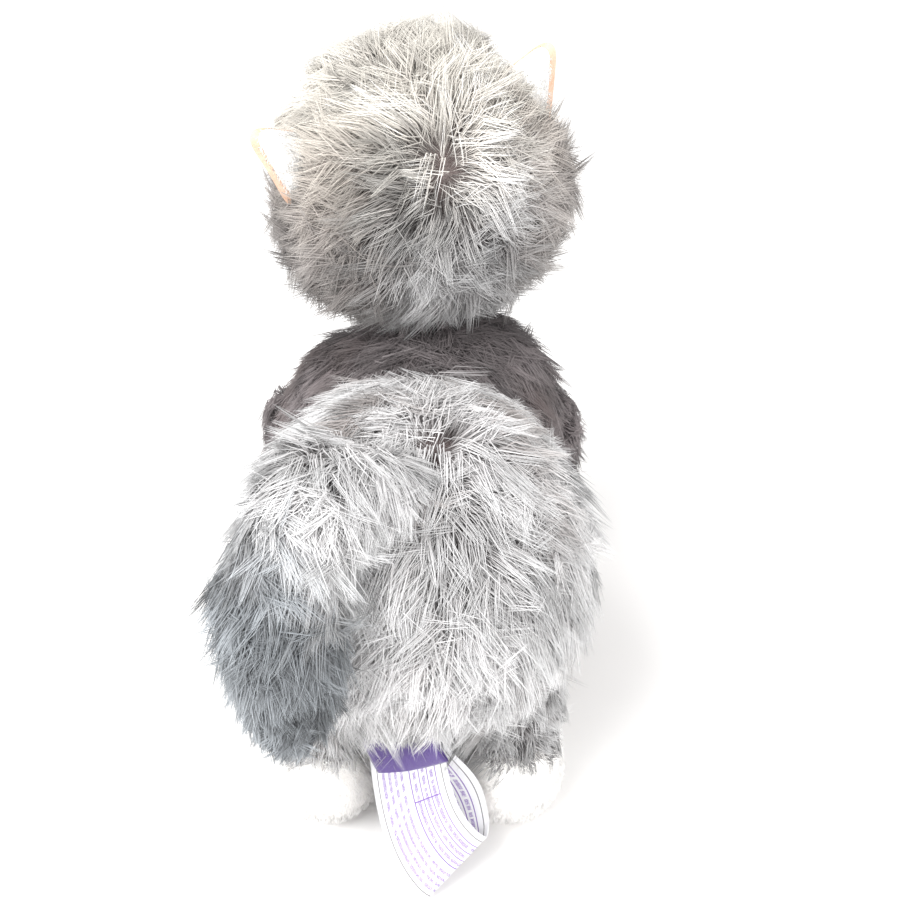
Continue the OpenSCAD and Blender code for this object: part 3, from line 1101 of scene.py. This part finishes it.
def ear_outline(angle, low_edge):
    """Reach of an ear's rim: a rounded triangle with a straight outer lower edge."""
    edges = ((90, 0.0104), (180, 0.0088), (-41, low_edge))
    pressed = 0.0
    for turn, away in edges:
        pressed += max(0.0, math.cos(angle - math.radians(turn)) / away) ** 2.9
    return pressed ** (-1 / 2.9)


def ear_layer(name, side, low_edge, forward, thickness):
    """One cloth of an ear, cupped forwards; the lining reaches past the back at its low rim."""
    cloth = ball((0, 0, 0), 1.0, segments=64)
    cloth.name = name
    keep(cloth, lambda p: p.z > -0.001)
    place, up = EAR[side]
    out = (place - HEAD_C).normalized()
    rear = up.cross(out) * side
    middle = place + out * -0.0005 + up * 0.0025
    for vertex in cloth.data.vertices:
        rho = min(1.0, math.hypot(vertex.co.x, vertex.co.y))
        angle = math.atan2(vertex.co.y, vertex.co.x)
        reach = ear_outline(angle, low_edge) * rho
        low_rim = max(0.0, math.cos(angle - math.radians(-41))) ** 2
        cup = 0.0054 - 0.0072 * rho ** 2 + 0.0016 * low_rim * rho ** 4 - forward
        vertex.co = (middle + out * (reach * math.cos(angle)) + up * (reach * math.sin(angle))
                     + rear * cup)
    cloth.data.update()
    apply_modifier(cloth, "SOLIDIFY", thickness=thickness, offset=0)
    apply_modifier(cloth, "SUBSURF", levels=1, render_levels=1)
    outward(cloth)
    smooth(cloth)
    return cloth


def outward(obj):
    """Turns every face of a closed piece outwards."""
    pick(obj)
    bpy.ops.object.mode_set(mode="EDIT")
    bpy.ops.mesh.select_all(action="SELECT")
    bpy.ops.mesh.normals_make_consistent(inside=False)
    bpy.ops.object.mode_set(mode="OBJECT")


FUZZ_WIDTH = 0.00030


def fuzz(name, skin, count, length, rng, colour, body, wanted=None):
    """Very short soft fibres that stand on a short-pile skin."""
    points, normals = scatter(skin, count, rng, wanted)
    flow = comb(points, normals, (0.1, 0.1, -1.0), [])
    root, mid, tip, *_ = strand_paths(
        points, normals, flow, np.full((count, 1), length), rng, 5, stand=1.1, droop=0.1,
        tousle=0.5, gather=0.4)
    tone = rng.normal(0, 0.5, count)
    light = np.tile(np.array(colour), (count, 1))
    rows = light * 0.95, light * (0.98 + tone * 0.02)[:, None], light
    width = np.full((count, 1), FUZZ_WIDTH)
    pile = strand_mesh(name, root, mid, tip, width, rows, normals)
    dress(pile, pile_material(name + "_fibre", colour), body, "cream_skin")
    return pile


# ---------- labels ----------

def bezier(points, t):
    a, b, c, d = points
    u = 1 - t
    return a * u ** 3 + b * (3 * u * u * t) + c * (3 * u * t * t) + d * t ** 3


def ribbon_strip(name, route, thickness, lengthwise=64, across=16):
    """A strip of ribbon; route(t) gives its left and right edge at t from 0 to 1."""
    deselect()
    bpy.ops.mesh.primitive_grid_add(
        x_subdivisions=across, y_subdivisions=lengthwise, size=1, location=(0, 0, 0))
    strip = bpy.context.object
    strip.name = name
    for vertex in strip.data.vertices:
        u, t = vertex.co.x + 0.5, vertex.co.y + 0.5
        left, right = route(t)
        vertex.co = left.lerp(right, u)
    strip.data.update()
    apply_modifier(strip, "SOLIDIFY", thickness=thickness, offset=0)
    smooth(strip)
    return strip


class MONKEY_OT_labels(bpy.types.Operator):
    """Build the folded ribbon label and the looped care label"""

    bl_idname = "monkey.labels"
    bl_label = "Labels"

    def execute(self, context):
        tint = colours()
        root_a = Vector((0.01827, 0.09263, 0.05427))
        root_b = Vector((-0.01044, 0.10367, 0.06310))
        fold_a = Vector((-0.0040, 0.1325, 0.0030))
        fold_b = Vector((-0.0275, 0.1175, 0.0215))
        off = Vector((0.415, 0.873, 0.257))
        down = Vector((-0.369, 0.419, -0.830))
        left = (root_a, Vector((0.0172, 0.1030, 0.0370)), Vector((0.0105, 0.1220, 0.0130)),
                fold_a)
        right = (root_b, Vector((-0.0125, 0.1100, 0.0500)), Vector((-0.0170, 0.1170, 0.0370)),
                 fold_b)

        def loop(t):
            """Down the front of the loop, round its fold and up its back."""
            front = t < 0.5
            s = min(1.0, t / 0.5) if front else min(1.0, (1 - t) / 0.5)
            open_by = 0.0055 * math.sin(math.pi * min(1.0, s) ** 1.5) + 0.0016 * s
            round_fold = math.sqrt(max(0.0, 1 - ((s - 0.92) / 0.08) ** 2)) if s > 0.92 else 1.0
            shift = off * (open_by * round_fold * (0.5 if front else -1.6))
            return bezier(left, s) + shift, bezier(right, s) + shift * (1.0 if front else 1.5)

        care = ribbon_strip("care_label_loop", loop, 0.00028, lengthwise=120)
        ink = Shader("printed_satin", tint.satin, 0.38, Sheen_Weight=0.25, Sheen_Roughness=0.3)
        care.data.materials.append(self.print_on(ink, tint))
        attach(care, "labels")
        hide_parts("care_label")

        def short_loop(t):
            """Down the outside of the folded ribbon, and up its inside."""
            front = t < 0.5
            s = min(1.0, t / 0.5) if front else min(1.0, (1 - t) / 0.5)
            lift = 0.0032 + 0.0009 * (1 if front else -1) * math.sqrt(max(0.0, 1 - s ** 6))
            raised = off * (lift + 0.0022 * math.sin(math.pi * s))
            return (root_a + down * (0.0262 * s - 0.0065) + raised,
                    root_b + down * (0.0165 * s - 0.0065) + raised)

        ribbon = ribbon_strip("ribbon_label_fold", short_loop, 0.00035)
        ribbon.data.materials.append(self.woven(tint))
        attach(ribbon, "labels")
        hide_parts("ribbon_label")
        return {"FINISHED"}

    @staticmethod
    def print_on(ink, tint):
        """Border lines, a small table and rows of plain bars on white satin."""
        where = ink.node("ShaderNodeUVMap")
        split = ink.nodes.new("ShaderNodeSeparateXYZ")
        ink.links.new(where.socket, split.inputs[0])
        u, v = Value(ink, split.outputs[0]), Value(ink, split.outputs[1])

        def line(across, half, value=u):
            gap = ink.node("ShaderNodeMath", {"operation": "ABSOLUTE"}, {0: value - across})
            return 1 - (gap > half)

        def between(value, low, high):
            return (value > low) * (1 - (value > high))

        border = line(0.075, 0.006) + line(0.925, 0.006)
        table = line(0.50, 0.007) + line(0.62, 0.006) + line(0.73, 0.006) + line(0.84, 0.006)
        cross = line(0.235, 0.0022, v) * between(u, 0.50, 0.84)
        words = ink.node("ShaderNodeTexNoise", {"noise_dimensions": "1D"}, {
            "W": v * 55 + u * 9, "Scale": 1.0, "Detail": 2.0})
        ticks = ink.node("ShaderNodeTexNoise", {"noise_dimensions": "2D"}, {
            "Vector": ink.node("ShaderNodeVectorMath", {"operation": "MULTIPLY"}, {
                0: where, 1: (160, 420, 1)}), "Scale": 1.0, "Detail": 1.0})
        rows = line(0.155, 0.021) + line(0.235, 0.019) + line(0.315, 0.019) + line(0.395, 0.019)
        cells = line(0.56, 0.020) + line(0.675, 0.020) + line(0.785, 0.022)
        spoken = (words > 0.40) * (ticks > 0.47) * (rows + cells)
        inked = (table + cross + spoken) * between(v, 0.02, 0.98)
        weave = ink.wave("X", 90, 0.2, where)
        cloth = ink.ramp(weave, (0.2, tuple(c * 0.965 for c in tint.satin)), (0.8, tint.satin))
        shaded = ink.mix(border, cloth, (0.17, 0.155, 0.17))
        ink.feed("Base Color", ink.mix(inked, shaded, tint.print_ink))
        ink.bump(weave, 0.00004)
        return ink.material

    @staticmethod
    def woven(tint):
        """Close purple satin weave with a slanting thread."""
        cloth = Shader("purple_ribbon", tint.ribbon, 0.42, Sheen_Weight=0.4, Sheen_Roughness=0.35)
        where = cloth.node("ShaderNodeUVMap")
        slant = cloth.wave("DIAGONAL", 34, 0.5, where)
        thread = cloth.wave("X", 60, 0.3, where)
        mixed = slant * 0.6 + thread * 0.4
        cloth.feed("Base Color", cloth.ramp(
            mixed, (0.25, tuple(c * 0.6 for c in tint.ribbon)), (0.8, tuple(
                min(1, c * 1.7) for c in tint.ribbon))))
        cloth.bump(mixed, 0.00012)
        return cloth.material


# ---------- trim that the frame already holds ----------

class MONKEY_OT_trim(bpy.types.Operator):
    """Finish the eyes, washers, stitches, pouch and grain that the frame holds"""

    bl_idname = "monkey.trim"
    bl_label = "Eyes, stitches and filling"

    def execute(self, context):
        eye = Shader("eye_dome", (0.012, 0.008, 0.007), 0.06, Coat_Weight=0.6)
        glow = eye.noise(220, 2)
        eye.feed("Base Color", eye.ramp(glow, (0.3, (0.010, 0.007, 0.006)),
                                        (0.8, (0.020, 0.012, 0.009))))
        washer = Shader("washer_nylon", (0.72, 0.72, 0.70), 0.5)
        grain_lines = washer.noise(700, 3)
        washer.feed("Base Color", washer.ramp(grain_lines, (0.3, (0.68, 0.68, 0.66)),
                                              (0.7, (0.76, 0.76, 0.74))))
        washer.bump(grain_lines, 0.0001)
        thread = Shader("sewing_thread", (0.14, 0.085, 0.065), 0.7, Sheen_Weight=0.3)
        twist = thread.wave("DIAGONAL", 900, 0.5)
        thread.feed("Base Color", thread.ramp(twist, (0.2, (0.09, 0.05, 0.04)),
                                              (0.8, (0.19, 0.12, 0.09))))
        thread.bump(twist, 0.0002)
        pouch = Shader("pouch_weave", (0.74, 0.66, 0.52), 0.9)
        warp = pouch.wave("X", 500, 0.4)
        weft = pouch.wave("Y", 500, 0.4)
        pouch.feed("Base Color", pouch.ramp(warp * 0.5 + weft * 0.5, (0.2, (0.66, 0.58, 0.45)),
                                            (0.8, (0.78, 0.71, 0.57))))
        pouch.bump(warp * weft, 0.0002)
        grain = Shader("dry_grain", (0.52, 0.35, 0.16), 0.8)
        kernels = grain.node("ShaderNodeTexVoronoi", inputs={
            "Vector": grain.place(), "Scale": 260}, output="Distance")
        grain.feed("Base Color", grain.ramp(kernels, (0.1, (0.62, 0.45, 0.22)),
                                            (0.7, (0.30, 0.18, 0.08))))
        grain.bump(1 - kernels, 0.0012)
        for finish, nodes in (
                (eye, ("eye_left", "eye_right")),
                (washer, ("eye_washer_left", "eye_washer_right")),
                (thread, ("mouth_stitch", "closing_stitches")),
                (pouch, ("heat_pouch",)), (grain, ("grain_fill",))):
            for name in nodes:
                node = frame["nodes"][name]
                node.data.materials.clear()
                node.data.materials.append(finish.material)
        return {"FINISHED"}


# ---------- stage ----------

CAMERA_LIFT = math.radians(33)
CAMERA_RANGE = 0.525
CAMERA_AIM = Vector((-0.0134, 0, 0.123))


class MONKEY_OT_stage(bpy.types.Operator):
    """Set out the pale floor, the soft light and the camera"""

    bl_idname = "monkey.stage"
    bl_label = "Floor, light and camera"

    def execute(self, context):
        scene = context.scene
        deselect()
        bpy.ops.mesh.primitive_plane_add(size=12, location=(0, 0, 0))
        floor = context.object
        floor.name = "floor"
        paper = Shader("pale_paper", (0.93, 0.925, 0.92), 0.9, Specular_IOR_Level=0.1)
        paper.feed("Base Color", paper.ramp(
            paper.noise(3, 3), (0.3, (0.925, 0.92, 0.915)), (0.7, (0.94, 0.935, 0.93))))
        floor.data.materials.append(paper.material)

        world = bpy.data.worlds.new("studio")
        scene.world = world
        world.use_nodes = True
        world.node_tree.nodes["Background"].inputs["Color"].default_value = (1.0, 0.99, 0.985, 1)
        world.node_tree.nodes["Background"].inputs["Strength"].default_value = 1.0

        self.lamp("key", (0.7, 0.6, 1.1), 1.1, 24)
        self.lamp("fill", (-0.8, 1.1, 0.6), 1.2, 12)

        camera = bpy.data.cameras.new("camera")
        camera.lens = 50
        camera.sensor_width = 36
        holder = bpy.data.objects.new("camera", camera)
        back = Vector((0, math.cos(CAMERA_LIFT), math.sin(CAMERA_LIFT)))
        holder.location = CAMERA_AIM + back * CAMERA_RANGE
        holder.rotation_euler = (math.pi / 2 - CAMERA_LIFT, 0, math.pi)
        scene.collection.objects.link(holder)
        scene.camera = holder
        scene.view_settings.view_transform = "Standard"
        return {"FINISHED"}

    @staticmethod
    def lamp(name, place, size, power):
        light = bpy.data.lights.new(name, "AREA")
        light.shape = "DISK"
        light.size = size
        light.energy = power
        holder = bpy.data.objects.new(name, light)
        holder.location = place
        aim = Vector((0, 0, 0.12)) - Vector(place)
        holder.rotation_euler = aim.to_track_quat("-Z", "Y").to_euler()
        bpy.context.scene.collection.objects.link(holder)


# ---------- panel and registration ----------

STEPS = (MONKEY_OT_stage, MONKEY_OT_torso, MONKEY_OT_neck, MONKEY_OT_head, MONKEY_OT_face,
         MONKEY_OT_ears, MONKEY_OT_tail, MONKEY_OT_arms, MONKEY_OT_legs, MONKEY_OT_labels,
         MONKEY_OT_trim)


class MONKEY_PT_panel(bpy.types.Panel):
    """Lists the monkey's pieces"""

    bl_idname = "MONKEY_PT_panel"
    bl_label = "Stuffed Monkey"
    bl_space_type = "VIEW_3D"
    bl_region_type = "UI"
    bl_category = "Stuffed Monkey"

    def draw(self, context):
        for step in STEPS:
            self.layout.operator(step.bl_idname)


CLASSES = (PileSettings, ColourSettings, LabelSettings, *STEPS, MONKEY_PT_panel)


def register():
    for cls in CLASSES:
        bpy.utils.register_class(cls)
    bpy.types.Scene.monkey_pile = PointerProperty(type=PileSettings)
    bpy.types.Scene.monkey_colours = PointerProperty(type=ColourSettings)
    bpy.types.Scene.monkey_labels = PointerProperty(type=LabelSettings)


def unregister():
    del bpy.types.Scene.monkey_labels
    del bpy.types.Scene.monkey_colours
    del bpy.types.Scene.monkey_pile
    for cls in reversed(CLASSES):
        bpy.utils.unregister_class(cls)


def main():
    register()
    for step in STEPS:
        group, name = step.bl_idname.split(".")
        getattr(getattr(bpy.ops, group), name)()


if __name__ == "__main__":
    main()
